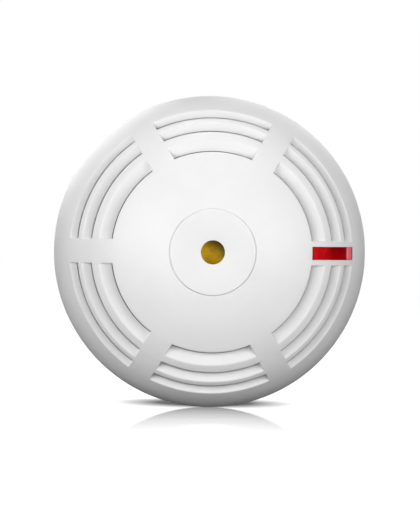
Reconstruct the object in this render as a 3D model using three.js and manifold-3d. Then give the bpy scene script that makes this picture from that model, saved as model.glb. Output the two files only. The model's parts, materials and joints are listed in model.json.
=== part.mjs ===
// Point heat detector: a louvred dome head that twists on to a round base.
//
// Every sub-part is drawn looking at the front of the detector, x to the right and y up, and z is the
// depth: 0 at the mounting face, growing towards the room. The last lines turn the whole detector so
// that it faces -Y with +Z up, as it stands on its edge. Millimetres throughout, angles in degrees,
// anticlockwise from the right as seen from the front.

import * as THREE from 'three';
import { mergeVertices } from 'three/addons/utils/BufferGeometryUtils.js';
import Module from 'manifold-3d';

const wasm = await Module();
wasm.setup();

// ---------------------------------------------------------------- driving dimensions

const gap = 0.3; // between neighbouring pieces
const roundSides = 48; // facets round the large turned parts
const midSides = 24; // round the middle-sized ones
const smallSides = 12; // round pins, screws and other small ones

// Dome
const bodyRadius = 54;
const widestDepth = 19;
const domeRise = 42; // from the widest plane to where the dome would close
const wall = 2;
const lipThickness = 1.3;
const skirtDepth = 13.2; // back edge of the cover

// Louvres: each slot's inner lip, and the radius where its floor comes flush with the dome
const louvres = [
  { lip: 34.35, flush: 38.85 },
  { lip: 41.3, flush: 44.6 },
  { lip: 46, flush: 48.65 },
];
const slit = 0.35; // air gap between a lip and the floor beyond it
const spokeWidth = 8.5;
const spokeAngles = [0, 60, 120]; // each one runs right across the dome
const ribDrop = 4.6; // how far the spokes' ribs reach below the dome
const ribEnds = { inner: 32, outer: 50.4 };

// Bosses under the cover for the screws that hold the head together
const bossRadius = 45;
const bossAngles = [60, 180, 300];
const boss = { outer: 3.3, bore: 1.6, from: 16.9, boreTo: 28, to: 37 };

// Centre
const capRadius = 14.85;
const capFace = 59.8;
const capThickness = 1.5;
const capEdge = 0.25; // chamfer
const spigot = { radius: 12, wall: 1.4, depth: 3.6 };
const portRadius = 4.12;
const seatRadius = capRadius + gap;
const crownBore = 12.4;

// Indicator window in the right-hand spoke
const windowWidth = 4.4;
const windowThickness = 3;
const guide = { inner: 36.4, outer: 39.6, end: 30.2 }; // light guide under the window

// Base
const baseRadius = 52.3;
const baseBackRadius = 51.3;
const baseHeight = 12;
const rimRadius = 49.3; // inside of the rim
const webThickness = 2.5;
const bayonetWall = { inner: 44, outer: 46, top: 11.8 };
const fixingSlot = { pitch: 60, width: 4.5, length: 12 };
const cableEntry = { width: 20, height: 13, y: 20 };

// Bayonet: lugs on the head hook behind lips on the base
const bayonetAngles = [90, 210, 330];
const lug = { inner: 38.5, outer: 43.2, from: 5.5, to: 7.5, halfAngle: 9 };
const hook = { inner: 41.2, outer: 44.6, from: 8.1, to: 10.1, halfAngle: 12.5 };
const stopAngle = 2.6;
const openStop = 32; // from the locked lug's centre

// Terminals
const terminalAngles = [45, 135, 225, 315];
const terminalRadius = 30;
const plinth = { width: 10, length: 11, from: 1.5, to: 4.5 };
const terminalBore = 1.8;
const contactReach = 10; // from a terminal screw to where the head's blade meets the strip
const leafDepth = 9; // front of the raised leaf
const contact = { foot: 4.8, thickness: 0.8, width: 8 };
const clamp = { from: 5.9, thickness: 0.9 };
const terminalScrew = { headRadius: 3, headFrom: 7.1, headTo: 8.6, shankRadius: 1.5, tip: 1.5 };

// Head chassis and board
const backPlate = { from: 12.4, to: 14.4, radius: 51 };
const pillarRadius = 37.5;
const pillarAngles = bayonetAngles;
const coverScrew = { headRadius: 2.5, headFrom: 12.6, headTo: 14.3, shankRadius: 1.25, tip: 26 };
const blade = { width: 4, thickness: 0.8 };
const board = { from: 20, to: 21.6, radius: 41.2 };
const onBoard = board.to + gap;
const boardScrew = { headRadius: 2.3, headFrom: onBoard, headTo: 23.4, shankRadius: 1, tip: 16 };
const shield = { radius: 34, top: 34.5, bore: 4.9 };

// Tamper switch
const tamperRadius = 30;
const tamperAngle = 270;
const plunger = { tip: 9, end: 16.9, radius: 1.2 };

// Heat sensor
const collector = { radius: 5.6, face: 57.4, stem: 1.9, bore: 1.2, end: 51 };
const bead = { from: 52, to: 54.6, radius: 0.9 };
const leadSpread = 0.55;

// Lamp under the window's light guide
const ledRadius = 38;
const ledFoot = 24;
const ledLeadSpread = 0.8;

// ---------------------------------------------------------------- solids

const radians = THREE.MathUtils.degToRad;

// A closed solid from a three.js geometry: corners shared, slivers dropped, faces pointing out.
function asSolid(geometry) {
  const bare = new THREE.BufferGeometry();
  bare.setAttribute('position', geometry.getAttribute('position'));
  bare.setIndex(geometry.index);
  const shared = mergeVertices(bare, 1e-4);
  const corners = shared.getAttribute('position').array;
  const index = shared.index.array;
  const a = new THREE.Vector3();
  const b = new THREE.Vector3();
  const c = new THREE.Vector3();
  const faces = [];
  let volume = 0;
  for (let i = 0; i < index.length; i += 3) {
    const [p, q, r] = index.slice(i, i + 3);
    if (p === q || q === r || r === p) continue;
    faces.push([p, q, r]);
    a.fromArray(corners, 3 * p);
    b.fromArray(corners, 3 * q);
    c.fromArray(corners, 3 * r);
    volume += a.dot(b.cross(c));
  }
  const outward = volume > 0 ? faces : faces.map(([p, q, r]) => [p, r, q]);
  return new wasm.Manifold(new wasm.Mesh({
    numProp: 3,
    vertProperties: new Float32Array(corners),
    triVerts: new Uint32Array(outward.flat()),
  }));
}

const join = (...solids) => solids.reduce((whole, solid) => whole.add(solid));
const cut = (whole, ...tools) => tools.reduce((rest, tool) => rest.subtract(tool), whole);

// Turned about the detector's axis (or about x, y) from an outline of [radius, depth] points.
// An outline that starts on the axis ends on it too. Any other outline closes on itself.
function turned(outline, sides = roundSides, x = 0, y = 0) {
  const ring = outline[0][0] === 0 ? outline : [...outline, outline[0]];
  const points = ring.map(([radius, depth]) => new THREE.Vector2(radius, depth));
  const lathe = new THREE.LatheGeometry(points, sides);
  return asSolid(lathe.rotateX(Math.PI / 2).translate(x, y, 0));
}

function post(radius, from, to, x = 0, y = 0, sides = smallSides) {
  return turned([[0, from], [radius, from], [radius, to], [0, to]], sides, x, y);
}

function tube(outer, inner, from, to, x = 0, y = 0, sides = smallSides) {
  return turned([[inner, from], [outer, from], [outer, to], [inner, to]], sides, x, y);
}

// A flat drawing given thickness from one depth to another.
function slab(shape, from, to, curveSegments = 8) {
  const options = { depth: to - from, bevelEnabled: false, curveSegments };
  return asSolid(new THREE.ExtrudeGeometry(shape, options).translate(0, 0, from));
}

function block(width, height, from, to, x = 0, y = 0) {
  return asSolid(new THREE.BoxGeometry(width, height, to - from).translate(x, y, (from + to) / 2));
}

function outline(points) {
  return new THREE.Shape(points.map(([x, y]) => new THREE.Vector2(x, y)));
}

// A side view drawn as [along x, depth] points, given a width along y.
function profileBar(points, width) {
  const bar = new THREE.ExtrudeGeometry(outline(points), { depth: width, bevelEnabled: false });
  return asSolid(bar.rotateX(Math.PI / 2).translate(0, width / 2, 0));
}

// Part of a flat ring, between two angles.
function ringPart({ inner, outer }, fromAngle, toAngle) {
  const shape = new THREE.Shape();
  shape.absarc(0, 0, outer, radians(fromAngle), radians(toAngle), false);
  shape.absarc(0, 0, inner, radians(toAngle), radians(fromAngle), true);
  return shape;
}

// A slot with round ends, along x.
function capsule(length, width, x = 0, y = 0) {
  const reach = (length - width) / 2;
  const shape = new THREE.Shape();
  shape.absarc(x + reach, y, width / 2, -Math.PI / 2, Math.PI / 2, false);
  shape.absarc(x - reach, y, width / 2, Math.PI / 2, (3 * Math.PI) / 2, false);
  return shape;
}

function circle(radius, x = 0, y = 0) {
  const path = new THREE.Path();
  path.absarc(x, y, radius, 0, 2 * Math.PI, false);
  return path;
}

function polar(radius, angle) {
  return [radius * Math.cos(radians(angle)), radius * Math.sin(radians(angle))];
}

// ---------------------------------------------------------------- materials and meshes

const finishes = {
  shell: { color: 0xf1f1f0, roughness: 0.42, metalness: 0 },
  chassis: { color: 0xe4e4e2, roughness: 0.5, metalness: 0 },
  red: { color: 0xb4121a, roughness: 0.2, metalness: 0 },
  brass: { color: 0xc4962e, roughness: 0.35, metalness: 0.9 },
  steel: { color: 0xb9bcc0, roughness: 0.32, metalness: 0.95 },
  board: { color: 0x1f6b3a, roughness: 0.55, metalness: 0.05 },
  chip: { color: 0x1c1d1f, roughness: 0.6, metalness: 0 },
  can: { color: 0x9da3a8, roughness: 0.3, metalness: 0.8 },
  ceramic: { color: 0x2f5f9a, roughness: 0.45, metalness: 0 },
  bead: { color: 0x18191a, roughness: 0.35, metalness: 0 },
  glass: { color: 0xa9c7b4, roughness: 0.1, metalness: 0 },
  black: { color: 0x232426, roughness: 0.5, metalness: 0 },
};

function piece(name, solid, finish) {
  const { vertProperties, triVerts } = solid.getMesh();
  const geometry = new THREE.BufferGeometry();
  geometry.setAttribute('position', new THREE.BufferAttribute(vertProperties, 3));
  geometry.setIndex(new THREE.BufferAttribute(triVerts, 1));
  geometry.computeVertexNormals();
  const mesh = new THREE.Mesh(geometry, new THREE.MeshStandardMaterial(finishes[finish]));
  mesh.name = name;
  return mesh;
}

// The same piece at several angles round the axis, numbered from 1.
function pieceRound(name, angles, radius, solid, finish) {
  return angles.map((angle, i) => {
    const mesh = piece(`${name}_${i + 1}`, solid, finish);
    const [x, y] = polar(radius, angle);
    mesh.position.set(x, y, 0);
    mesh.rotation.z = radians(angle);
    return mesh;
  });
}

// ---------------------------------------------------------------- dome surface

const domeDepth = (radius) => widestDepth + domeRise * Math.sqrt(1 - (radius / bodyRadius) ** 2);
const innerDepth = (radius) =>
  widestDepth + (domeRise - wall) * Math.sqrt(1 - (radius / (bodyRadius - wall)) ** 2);

// Radii at which the dome's outline has a corner, so that every piece of it shares the same facets.
const domeStations = [
  seatRadius, 20, 25, 29, 32,
  ...louvres.flatMap(({ lip, flush }) => [lip, flush]),
  50.4, 51.8, 53, 53.7, bodyRadius,
].sort((a, b) => a - b);

const domeLine = (from, to) =>
  domeStations.filter((r) => r >= from && r <= to).map((r) => [r, domeDepth(r)]);

// ---------------------------------------------------------------- front cover

function crown() {
  const first = louvres[0].lip;
  const seat = capFace - capThickness - gap;
  const underside = [30, 25, 20].map((r) => [r, innerDepth(r) - 0.1]);
  return turned([
    [crownBore, seat],
    [seatRadius, seat],
    ...domeLine(seatRadius, first),
    [first, domeDepth(first) - lipThickness],
    ...underside,
    [crownBore, seat - wall],
  ]);
}

// A ring between two slots: a floor square to the axis, then the dome as far as the next lip.
function vane(louvre, next) {
  const edge = louvre.lip + slit;
  const floor = domeDepth(louvre.flush);
  return turned([
    [edge, floor],
    ...domeLine(louvre.flush, next.lip),
    [next.lip, domeDepth(next.lip) - lipThickness],
    [louvre.flush, floor - lipThickness - 0.1],
    [edge, floor - lipThickness],
  ]);
}

function skirt() {
  const last = louvres[louvres.length - 1];
  const edge = last.lip + slit;
  const floor = domeDepth(last.flush);
  const inner = [48.9, 50.6, 51.6].map((r) => [r, innerDepth(r)]).reverse();
  return turned([
    [edge, floor],
    ...domeLine(last.flush, bodyRadius),
    [bodyRadius, 16.5],
    [bodyRadius - 0.7, skirtDepth],
    [bodyRadius - wall - 0.5, skirtDepth],
    [bodyRadius - wall, widestDepth],
    ...inner,
    [edge, floor - lipThickness],
  ]);
}

// The spokes between the slots, each with a rib behind it.
function spokeRibs() {
  const { inner, outer } = ribEnds;
  const top = domeLine(inner, outer);
  const below = top.slice(2, -1).map(([r, depth]) => [r - 1.2, depth - ribDrop + 1]).reverse();
  const band = turned([
    ...top, [outer, innerDepth(outer) + gap], ...below, [inner, domeDepth(inner) - 1.6],
  ]);
  const spokes = spokeAngles.map((angle) =>
    asSolid(new THREE.BoxGeometry(2.2 * bodyRadius, spokeWidth, domeRise)
      .rotateZ(radians(angle)).translate(0, 0, domeRise)));
  return band.intersect(join(...spokes));
}

function frontCover() {
  const [first, second, last] = louvres;
  const shell = join(crown(), vane(first, second), vane(second, last), skirt(), spokeRibs());
  const bosses = bossAngles.map((angle) =>
    post(boss.outer, boss.from, boss.to, ...polar(bossRadius, angle)));
  const bores = bossAngles.map((angle) =>
    post(boss.bore, boss.from - 1, boss.boreTo, ...polar(bossRadius, angle)));
  const inner = first.lip - gap;
  const outer = last.flush + gap;
  const windowCut = block(
    outer - inner, windowWidth + 2 * gap, guide.end - gap, capFace, (inner + outer) / 2,
  );
  return cut(join(shell, ...bosses), ...bores, windowCut);
}

function centreCap() {
  const back = capFace - capThickness;
  const spigotInner = spigot.radius - spigot.wall;
  return turned([
    [portRadius, back],
    [spigotInner, back],
    [spigotInner, back - spigot.depth],
    [spigot.radius, back - spigot.depth],
    [spigot.radius, back],
    [capRadius, back],
    [capRadius, capFace - capEdge],
    [capRadius - capEdge, capFace],
    [portRadius + capEdge, capFace],
    [portRadius, capFace - capEdge],
  ]);
}

function indicatorWindow() {
  const radii = domeStations.filter((r) => r >= louvres[0].lip && r <= louvres[2].flush);
  const top = radii.map((r) => [r, domeDepth(r) - 0.1]);
  const under = (r) => [r, domeDepth(r) - windowThickness];
  const beyond = radii.filter((r) => r > guide.outer).map(under).reverse();
  const before = radii.filter((r) => r < guide.inner).map(under).reverse();
  return profileBar([
    ...top,
    ...beyond,
    under(guide.outer),
    [guide.outer, guide.end],
    [guide.inner, guide.end],
    under(guide.inner),
    ...before,
  ], windowWidth);
}

// ---------------------------------------------------------------- base

function basePlate() {
  const rooted = webThickness - 0.5; // where the pieces that stand on the web start
  const dish = turned([
    [0, 0],
    [baseBackRadius, 0],
    [baseRadius, baseHeight - 0.6],
    [baseRadius - 0.6, baseHeight],
    [rimRadius, baseHeight],
    [rimRadius, webThickness],
    [0, webThickness],
  ]);
  const { inner, outer, top } = bayonetWall;
  const wallRing = tube(outer, inner, rooted, top, 0, 0, roundSides);
  const hooks = bayonetAngles.map((angle) =>
    slab(ringPart(hook, angle - hook.halfAngle, angle + hook.halfAngle), hook.from, hook.to, 2));
  const stopAngles = bayonetAngles.flatMap((angle) => [angle - hook.halfAngle, angle + openStop]);
  const stops = stopAngles.map((angle) =>
    slab(ringPart(hook, angle, angle + stopAngle), rooted, hook.to, 1));
  const plinths = terminalAngles.map((angle) =>
    block(plinth.width, plinth.length, plinth.from, plinth.to, terminalRadius).rotate(0, 0, angle));
  const tamperPeg = turned(
    [[0, 1], [3.2, 1], [3.2, webThickness], [2.2, plunger.tip - gap], [0, plunger.tip - gap]],
    smallSides, ...polar(tamperRadius, tamperAngle),
  );
  const solid = join(dish, wallRing, ...hooks, ...stops, ...plinths, tamperPeg);

  const through = [-1, webThickness + 1];
  const slots = [-1, 1].map((side) =>
    slab(capsule(fixingSlot.length, fixingSlot.width, side * fixingSlot.pitch / 2), ...through));
  const entry = slab(capsule(cableEntry.width, cableEntry.height, 0, cableEntry.y), ...through);
  const screwBores = terminalAngles.map((angle) =>
    post(terminalBore, 1.2, plinth.to + 1, ...polar(terminalRadius, angle)));
  return cut(solid, ...slots, entry, ...screwBores);
}

// A strip with its flat foot under the terminal screw and its end raised to meet the head's blade.
// Drawn with its screw at the origin and its length along x.
function baseContact() {
  const { foot, thickness, width } = contact;
  const leaf = leafDepth - thickness;
  const strip = profileBar([
    [-5, foot], [5.5, foot], [7.2, leaf], [14, leaf],
    [14, leafDepth], [6.7, leafDepth], [5, foot + thickness], [-5, foot + thickness],
  ], width);
  return cut(strip, post(terminalBore, foot - 1, foot + thickness + 1));
}

function terminalClamp() {
  const { from, thickness } = clamp;
  const washer = outline([[-3.4, -3.8], [3, -3.8], [3, 3.8], [-3.4, 3.8], [-4.2, 2.8], [-4.2, -2.8]]);
  const to = from + thickness;
  return cut(slab(washer, from, to), post(terminalBore, from - 1, to + 1));
}

function slottedScrew({ headRadius, headFrom, headTo, shankRadius, tip }) {
  const bevel = 0.35;
  const body = turned([
    [0, tip],
    [shankRadius - 0.3, tip],
    [shankRadius, tip + 0.6],
    [shankRadius, headFrom],
    [headRadius, headFrom],
    [headRadius, headTo - bevel],
    [headRadius - bevel, headTo],
    [0, headTo],
  ], smallSides);
  return cut(body, block(2.4 * headRadius, 0.7, headTo - 0.6, headTo + 1));
}

// Pieces of one terminal, each along the tangent at its angle.
function terminalPieces(name, solid, finish) {
  return terminalAngles.map((angle, i) => {
    const mesh = piece(`${name}_${i + 1}`, solid, finish);
    const [x, y] = polar(terminalRadius, angle);
    mesh.position.set(x, y, 0);
    mesh.rotation.z = radians(angle + 90);
    return mesh;
  });
}

// ---------------------------------------------------------------- head chassis

function rearHousing() {
  const plate = turned([
    [0, backPlate.from],
    [backPlate.radius - 0.5, backPlate.from],
    [backPlate.radius, backPlate.from + 0.5],
    [backPlate.radius, backPlate.to],
    [50.6, 19],
    [49.2, 19],
    [49.4, backPlate.to],
    [0, backPlate.to],
  ]);
  const lugWall = { inner: lug.inner, outer: lug.inner + 2 };
  const arcs = bayonetAngles.map((angle) =>
    slab(ringPart(lugWall, angle - 24, angle + 24), lug.from, backPlate.from + 0.6, 3));
  const lugs = bayonetAngles.map((angle) =>
    slab(ringPart(lug, angle - lug.halfAngle, angle + lug.halfAngle), lug.from, lug.to, 2));
  const pillars = pillarAngles.map((angle) =>
    post(2.7, backPlate.to - 1, board.from - gap, ...polar(pillarRadius, angle)));
  const pillarBores = pillarAngles.map((angle) =>
    post(1.3, backPlate.to - 0.4, board.from + 1, ...polar(pillarRadius, angle)));
  const seats = bossAngles.map((angle) =>
    post(4, backPlate.to - 1, 16.6, ...polar(bossRadius, angle)));
  const counterbores = bossAngles.map((angle) => post(2.9, 11, 14.6, ...polar(bossRadius, angle)));
  const throughBores = bossAngles.map((angle) => post(1.6, 14, 18, ...polar(bossRadius, angle)));
  const bladeSlots = bladePlaces().map(({ x, y, angle }) =>
    asSolid(new THREE.BoxGeometry(1.6, 4.8, 6).rotateZ(radians(angle)).translate(x, y, 13)));
  const plungerBore = post(1.8, 11, 16, ...polar(tamperRadius, tamperAngle));
  return cut(
    join(plate, ...arcs, ...lugs, ...pillars, ...seats),
    ...pillarBores, ...counterbores, ...throughBores, ...bladeSlots, plungerBore,
  );
}

// Where the head's blades meet the raised leaves, and the direction of the blade's flat there.
function bladePlaces() {
  return terminalAngles.map((angle) => {
    const [x, y] = polar(terminalRadius, angle);
    const [alongX, alongY] = polar(contactReach, angle + 90);
    return { x: x + alongX, y: y + alongY, angle: angle + 90 };
  });
}

// A blade with its foot on the leaf and its tail up through the chassis to the board.
function headContact() {
  const foot = leafDepth + gap;
  const half = blade.thickness / 2;
  return profileBar([
    [-3, foot + half], [-2.2, foot], [half, foot], [half, board.from - gap],
    [-half, board.from - gap], [-half, foot + 2 * half], [-2.6, foot + 2 * half], [-3, foot + 3 * half],
  ], blade.width);
}

function headContacts() {
  return bladePlaces().map(({ x, y, angle }, i) => {
    const mesh = piece(`head_contact_${i + 1}`, headContact(), 'brass');
    mesh.position.set(x, y, 0);
    mesh.rotation.z = radians(angle);
    return mesh;
  });
}

// Pan-headed screw driven from the back, its head at the smaller depth.
function rearScrew({ headRadius, headFrom, headTo, shankRadius, tip }) {
  const body = turned([
    [0, headFrom],
    [headRadius - 0.4, headFrom],
    [headRadius, headFrom + 0.4],
    [headRadius, headTo],
    [shankRadius, headTo],
    [shankRadius, tip - 0.6],
    [shankRadius - 0.4, tip],
    [0, tip],
  ], smallSides);
  return cut(
    body,
    block(2.8, 0.7, headFrom - 1, headFrom + 0.8),
    block(0.7, 2.8, headFrom - 1, headFrom + 0.8),
  );
}

// ---------------------------------------------------------------- board and its components

function circuitBoard() {
  const shape = new THREE.Shape();
  shape.absarc(0, 0, board.radius, 0, 2 * Math.PI, false);
  shape.holes = pillarAngles.map((angle) => circle(1.4, ...polar(pillarRadius, angle)));
  return slab(shape, board.from, board.to, 12);
}

function innerShield() {
  const { radius, top, bore } = shield;
  const thick = 1.4;
  return turned([
    [bore, top - thick], [radius - thick, top - thick], [radius - thick, onBoard],
    [radius, onBoard], [radius, top - 1], [radius - 1, top], [bore, top],
  ], midSides);
}

function sensorTower() {
  const foot = onBoard;
  return turned([
    [3, foot], [8, foot], [8, foot + 1.4], [4.4, foot + 2.4], [4.4, 47.5], [7.2, 50.5],
    [7.2, 55.4], [6, 55.4], [6, 51.5], [3, 50],
  ], midSides);
}

function heatCollector() {
  const { radius, face, stem, bore, end } = collector;
  const under = face - 1.7;
  return turned([
    [0, under - 0.7], [bore, under - 0.7], [bore, end], [stem, end], [stem, under],
    [radius, under], [radius, face - 0.5], [radius - 0.6, face - 0.15], [2, face], [0, face],
  ], midSides);
}

function thermistorBead() {
  const { from, to, radius } = bead;
  return turned([
    [0, from], [0.6 * radius, from], [radius, from + 0.6],
    [0.95 * radius, to - 0.6], [0.45 * radius, to], [0, to],
  ], smallSides);
}

function thermistorLead(side) {
  return post(0.25, onBoard, bead.from - gap, side * leadSpread, 0);
}

function referenceThermistor() {
  return turned([
    [0, onBoard], [0.5, onBoard], [0.5, 26], [1.3, 26.8], [1.5, 28.2], [0.9, 29.4], [0, 29.4],
  ], smallSides, ...polar(ledRadius, 180));
}

// Chip package with a round pin-one mark sunk in its top.
function chip(width, height, thick, x, y) {
  const top = onBoard + thick;
  const shape = outline([
    [x - width / 2, y - height / 2], [x + width / 2, y - height / 2],
    [x + width / 2, y + height / 2], [x - width / 2, y + height / 2],
  ]);
  const notch = post(Math.min(width, height) / 8, top - 0.3, top + 1, x - width / 2 + 1, y);
  return cut(slab(shape, onBoard, top), notch);
}

function smoothingCapacitor(x, y) {
  const foot = onBoard;
  return turned([
    [0, foot], [4, foot], [4, foot + 1.2], [3.7, foot + 1.6], [4, foot + 2], [4, foot + 8.7],
    [3.6, foot + 9.2], [3, foot + 9.2], [3, foot + 9], [0, foot + 9],
  ], midSides, x, y);
}

function surgeSuppressor(x, y) {
  const radius = 3.8;
  const disc = turned([
    [0, -1.3], [radius - 0.8, -1.3], [radius, -0.5],
    [radius, 0.5], [radius - 0.8, 1.3], [0, 1.3],
  ], midSides);
  return disc.rotate(90, 0, 0).translate(x, y, onBoard + radius + 0.4);
}

function choke(x, y) {
  const foot = onBoard;
  return turned([
    [0, foot], [3.4, foot], [3.4, foot + 0.8], [2.4, foot + 1], [2.4, foot + 3.2],
    [3.4, foot + 3.4], [3.4, foot + 4.2], [0, foot + 4.2],
  ], midSides, x, y);
}

function crystal(x, y) {
  const can = capsule(10.5, 4.2, x, y);
  const flange = capsule(11.3, 5, x, y);
  return join(slab(flange, onBoard, onBoard + 0.5, 4), slab(can, onBoard + 0.3, onBoard + 3.4, 4));
}

function reedSwitch(x, y) {
  const half = 7;
  const glass = turned([
    [0, -half], [0.3, -half], [0.3, -5.6], [0.9, -5.2], [1.2, -4.6],
    [1.2, 4.6], [0.9, 5.2], [0.3, 5.6], [0.3, half], [0, half],
  ], smallSides);
  return glass.rotate(0, 90, 0).translate(x, y, onBoard + 1.6);
}

function statusLed() {
  const foot = ledFoot;
  return turned([
    [0, foot], [1.75, foot], [1.75, foot + 1], [1.5, foot + 1],
    [1.5, foot + 3.8], [1.3, foot + 4.8], [0.8, foot + 5.4], [0, foot + 5.6],
  ], smallSides, ...polar(ledRadius, 0));
}

function ledLead(side) {
  const [x, y] = polar(ledRadius, 0);
  return block(0.5, 0.5, onBoard, ledFoot - gap, x, y + side * ledLeadSpread);
}

// ---------------------------------------------------------------- tamper switch

function tamperSwitch() {
  const from = 15.5;
  const to = board.from - gap;
  const [x, y] = polar(tamperRadius, tamperAngle);
  return cut(block(7, 7, from, to, x, y), post(1.7, from - 1, to - 0.9, x, y));
}

function tamperPlunger() {
  const { tip, end, radius } = plunger;
  return turned([
    [0, tip], [radius - 0.4, tip], [radius, tip + 0.5], [radius, end], [0, end],
  ], smallSides, ...polar(tamperRadius, tamperAngle));
}

// ---------------------------------------------------------------- assembly

const base = new THREE.Group();
base.add(
  piece('base_plate', basePlate(), 'shell'),
  ...terminalPieces('base_contact', baseContact(), 'brass'),
  ...terminalPieces('terminal_clamp', terminalClamp(), 'steel'),
  ...terminalPieces('terminal_screw', slottedScrew(terminalScrew), 'steel'),
);

const sensor = new THREE.Group();
sensor.add(
  piece('sensor_tower', sensorTower(), 'chassis'),
  piece('heat_collector', heatCollector(), 'brass'),
  piece('thermistor_bead', thermistorBead(), 'bead'),
  piece('thermistor_lead_1', thermistorLead(-1), 'steel'),
  piece('thermistor_lead_2', thermistorLead(1), 'steel'),
);

const electronics = new THREE.Group();
electronics.add(
  piece('circuit_board', circuitBoard(), 'board'),
  ...pieceRound('board_screw', pillarAngles, pillarRadius, slottedScrew(boardScrew), 'steel'),
  piece('microcontroller', chip(9, 9, 1.2, 15, 9), 'chip'),
  piece('line_driver', chip(10, 4, 1.6, -15, 12), 'chip'),
  piece('bridge_rectifier', chip(6.5, 5, 2.5, -18, -6), 'chip'),
  piece('smoothing_capacitor', smoothingCapacitor(17, -11), 'can'),
  piece('surge_suppressor', surgeSuppressor(-9, -19), 'ceramic'),
  piece('choke', choke(5, -22), 'chip'),
  piece('crystal', crystal(16, 20), 'can'),
  piece('reed_switch', reedSwitch(-6, 24), 'glass'),
  piece('reference_thermistor', referenceThermistor(), 'bead'),
  piece('status_led', statusLed(), 'red'),
  piece('led_lead_1', ledLead(-1), 'steel'),
  piece('led_lead_2', ledLead(1), 'steel'),
  piece('inner_shield', innerShield(), 'chassis'),
  piece('tamper_switch', tamperSwitch(), 'black'),
  piece('tamper_plunger', tamperPlunger(), 'chassis'),
);

const head = new THREE.Group();
head.add(
  piece('front_cover', frontCover(), 'shell'),
  piece('centre_cap', centreCap(), 'shell'),
  piece('indicator_window', indicatorWindow(), 'red'),
  piece('rear_housing', rearHousing(), 'chassis'),
  ...pieceRound('cover_screw', bossAngles, bossRadius, rearScrew(coverScrew), 'steel'),
  ...headContacts(),
  sensor,
  electronics,
);

const detector = new THREE.Group();
detector.rotation.x = Math.PI / 2;
detector.add(base, head);

export default detector;
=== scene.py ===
"""Looks of the heat detector: fine meshes, materials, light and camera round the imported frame.

Shapes are drawn looking at the detector's front, in millimetres: a radius and an angle round the axis
(anticlockwise from the indicator window) and a depth in front of the mounting face. The functions
point() and bench() turn them into the frame's metres, where the dome faces -Y and +Z is up.
"""
import json
import math

import bmesh
import bpy
from mathutils import Matrix, Vector

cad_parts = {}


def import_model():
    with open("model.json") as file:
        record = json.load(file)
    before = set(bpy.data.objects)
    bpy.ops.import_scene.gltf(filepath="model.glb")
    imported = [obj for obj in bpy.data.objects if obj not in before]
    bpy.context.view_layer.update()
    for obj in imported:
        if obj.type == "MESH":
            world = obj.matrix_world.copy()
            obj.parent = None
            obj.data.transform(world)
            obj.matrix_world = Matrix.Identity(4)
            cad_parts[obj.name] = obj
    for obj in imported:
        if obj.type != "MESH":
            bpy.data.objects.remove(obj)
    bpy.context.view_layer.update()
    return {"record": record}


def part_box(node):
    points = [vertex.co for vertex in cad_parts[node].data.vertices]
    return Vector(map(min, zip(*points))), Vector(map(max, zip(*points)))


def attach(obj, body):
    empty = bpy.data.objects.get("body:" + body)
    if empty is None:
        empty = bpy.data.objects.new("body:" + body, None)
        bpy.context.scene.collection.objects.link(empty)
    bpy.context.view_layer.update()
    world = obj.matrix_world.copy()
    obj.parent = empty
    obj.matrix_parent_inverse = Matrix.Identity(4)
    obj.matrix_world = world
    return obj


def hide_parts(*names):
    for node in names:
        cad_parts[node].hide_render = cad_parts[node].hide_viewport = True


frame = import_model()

# ---------------------------------------------------------------- dimensions

MM = 0.001


def box_mm(node):
    """Lowest and highest corner of a CAD node, in millimetres."""
    low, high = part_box(node)
    return [c / MM for c in low], [c / MM for c in high]


_, cover_high = box_mm("front_cover")
cap_low, cap_high = box_mm("centre_cap")
base_low, base_high = box_mm("base_plate")
_, window_high = box_mm("indicator_window")
collector_low, collector_high = box_mm("heat_collector")
tower_low, tower_high = box_mm("sensor_tower")
shield_low, shield_high = box_mm("inner_shield")

BODY_RADIUS = cover_high[0]
SKIRT_DEPTH = -cover_high[1]
CAP_FACE = -cap_low[1]
CAP_RADIUS = cap_high[0]
BASE_RADIUS = base_high[0]
BASE_HEIGHT = -base_low[1]

WIDEST_DEPTH = 19.0
DOME_RISE = 42.0
WALL = 2.0
LIP = 1.3
SPOKE_HALF = 8.5 / 2
SPOKES = 6
RIB_DROP = 4.6
SLIT = 0.24  # air gap between a lip and the floor beyond it
LOUVRES = [(34.35, 38.85), (41.3, 44.6), (46.0, 48.65)]  # inner lip, and where the floor is flush
SEAT_RADIUS = CAP_RADIUS + 0.03
CROWN_BORE = 12.4
PORT_RADIUS = 4.1
CAP_THICKNESS = 1.5
EDGE = 0.38  # rounding of the cover's moulded edges

WINDOW_HALF = 2.2
DISH = (4.5, 1.25)  # hollow in the heat collector's face: radius and depth

LIGHTS = [  # name, azimuth, elevation, power in watts
    ("overhead", 0, 88, 7.3),
    ("left", -50, 8, 8.8),
    ("left_front", -25, 8, 5.8),
    ("right_front", 25, 8, 3.9),
    ("right", 50, 8, 7.8),
    ("left_low", -25, -20, 2.7),
    ("right_low", 50, -20, 2.8),
    ("left_edge", -103, 14, 1.6),
    ("right_edge", 116, 3, 0.26),
    ("behind_left", -155, 25, 5.0),
    ("behind_right", 160, 30, 3.0),
]
LIGHT_SIZES = {"right_edge": 0.3}  # the light that isn't of the usual size, in metres
LIGHT_SIZE = 0.8
LIGHT_DISTANCE = 1.5
FLOOR_GLOW = 0.98
FLOOR_MATT = 0.25
FLOOR_ASIDE = (0.045, 0.075)  # where the polish starts and ends fading to either side, in metres
FLOOR_FADE = [  # metres toward the camera from the contact line, and how strong the polish is there
    (0, 0), (0.001, 0.78), (0.072, 0.58), (0.118, 0.42), (0.23, 0.15), (0.37, 0.03), (0.55, 0),
]
SHADE_BEHIND = 0.026  # the contact shadow: its centre, half width and depth, and where it is full
SHADE_SIZE = (0.034, 0.058)
SHADE_FULL = 0.52
WORLD_ABOVE = 0.1
WORLD_BEHIND = 1.22
CAMERA_AZIMUTH = -1.65  # degrees
CAMERA_ELEVATION = 0.5
CAMERA_ROLL = 0.69
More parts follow.
